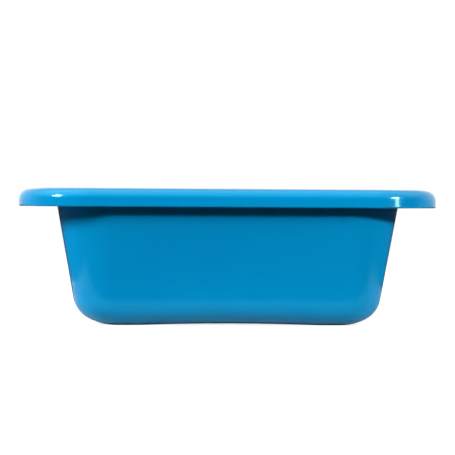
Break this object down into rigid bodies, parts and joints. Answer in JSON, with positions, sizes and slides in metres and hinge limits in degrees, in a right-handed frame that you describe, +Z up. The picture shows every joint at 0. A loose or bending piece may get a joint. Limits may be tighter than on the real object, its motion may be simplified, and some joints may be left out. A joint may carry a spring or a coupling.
{
  "type": "mud pan",
  "caption": "One-piece moulded plastic mud pan: a tapered trough with rounded corners, a low arched base and a wide rolled rim, to carry joint compound.",
  "frame": {"origin": "centre of the footprint, level with the lands that the pan rests on", "axes": "+X along the pan's length, +Y across it, +Z up out of its mouth"},
  "size_m": [0.356, 0.14, 0.1158],
  "materials": {
    "pan_body": "gloss"
  },
  "bodies": {
    "root": {"pan_body": "pan_body"}
  },
  "joints": []
}
